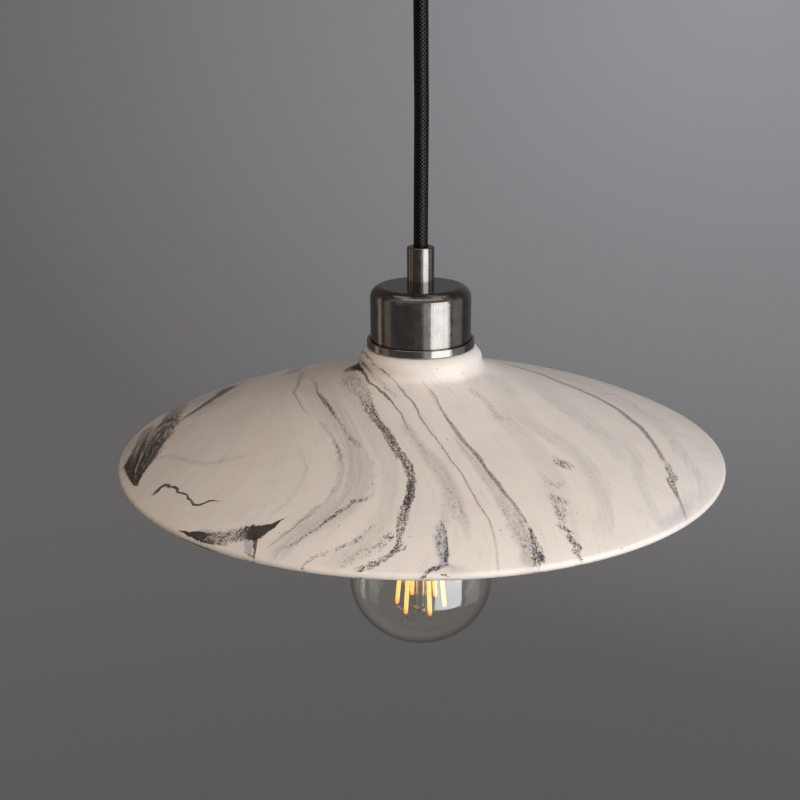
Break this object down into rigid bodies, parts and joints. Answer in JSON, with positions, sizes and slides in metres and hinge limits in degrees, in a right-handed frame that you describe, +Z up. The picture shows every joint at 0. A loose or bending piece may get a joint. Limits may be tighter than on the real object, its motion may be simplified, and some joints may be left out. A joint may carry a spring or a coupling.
{
  "type": "ceramic pendant light",
  "caption": "Wide marbled ceramic pendant shade on a metal-cased lampholder, hung by a round fabric cable from a ceiling canopy, with a screw-in filament bulb.",
  "frame": {"origin": "on the ceiling, in the middle of the bracket's top face, above the cable", "axes": "+Z up, square to the ceiling; the light hangs down along -Z and is seen from -Y; the bracket's slots lie along X"},
  "size_m": [0.28, 0.28, 0.3573],
  "materials": {
    "nickel": "satin antique nickel",
    "steel": "zinc plated",
    "brass": "plain",
    "clay": "matt marbled clay",
    "porcelain": "glazed",
    "black_plastic": "matt",
    "white_plastic": "matt",
    "rubber": "matt",
    "braid": "round braided cotton",
    "brown_core": "matt",
    "blue_core": "matt",
    "earth_core": "matt, green and yellow",
    "black_glass": "fused black glass",
    "cap_metal": "nickel plated",
    "glass": "clear",
    "filament": "lit filament",
    "board": "circuit board"
  },
  "bodies": {
    "ceiling": {"ceiling_bracket": "steel", "canopy": "nickel", "canopy_side_screws": "nickel", "terminal_block": "white_plastic", "terminal_block_sleeves": "brass", "terminal_block_screws": "steel", "terminal_block_fixing_screw": "steel", "bracket_earth_terminal": "brass", "bracket_earth_screw": "steel", "canopy_grip": "nickel", "canopy_grip_screw": "steel", "canopy_nipple": "steel", "canopy_lock_nut": "steel", "canopy_cable_end": "braid", "canopy_live_core": "brown_core", "canopy_neutral_core": "blue_core", "canopy_earth_core": "earth_core"},
    "free_cable": {"cable": "braid"},
    "lamp": {"cord_grip": "nickel", "cord_grip_screw": "steel", "holder_nipple": "steel", "holder_lock_nut": "steel", "holder_cable_end": "braid", "holder_live_core": "brown_core", "holder_neutral_core": "blue_core", "holder_earth_core": "earth_core", "holder_cup": "nickel", "shade_tray": "nickel", "ceramic_shade": "clay", "shade_gasket": "rubber", "retaining_ring": "black_plastic", "holder_cap": "black_plastic", "holder_skirt": "black_plastic", "holder_insert": "porcelain", "screw_shell": "brass", "centre_contact": "brass", "holder_terminals": "brass", "holder_terminal_screws": "steel"},
    "bulb_tip": {"bulb_contact": "cap_metal"},
    "bulb": {"bulb_insulator": "black_glass", "bulb_cap": "cap_metal", "bulb_glass": "glass", "bulb_stem": "glass", "led_filaments": "filament", "upper_filament_wires": "cap_metal", "lower_filament_wires": "cap_metal", "led_driver": "board", "bulb_lead_wires": "cap_metal"}
  },
  "joints": [
    {"name": "cable_sway", "type": "hinge", "parent": "ceiling", "child": "free_cable", "pos_m": [0, 0, -0.0428], "axis": [1, 0, 0], "range_deg": [-20, 20]},
    {"name": "lamp_tilt", "type": "hinge", "parent": "free_cable", "child": "lamp", "pos_m": [0, 0, -0.1628], "axis": [0, 1, 0], "range_deg": [-15, 15]},
    {"name": "bulb_travel", "type": "slide", "parent": "lamp", "child": "bulb_tip", "axis": [0, 0, -1], "range_m": [0, 0.0182]},
    {"name": "bulb_turn", "type": "hinge", "parent": "bulb_tip", "child": "bulb", "pos_m": [0, 0, -0.2188], "axis": [0, 0, -1], "range_deg": [0, 1800]}
  ],
  "couplings": [
    {"joint": "bulb_travel", "follows": "bulb_turn", "m_per_rad": 0.00057773}
  ]
}
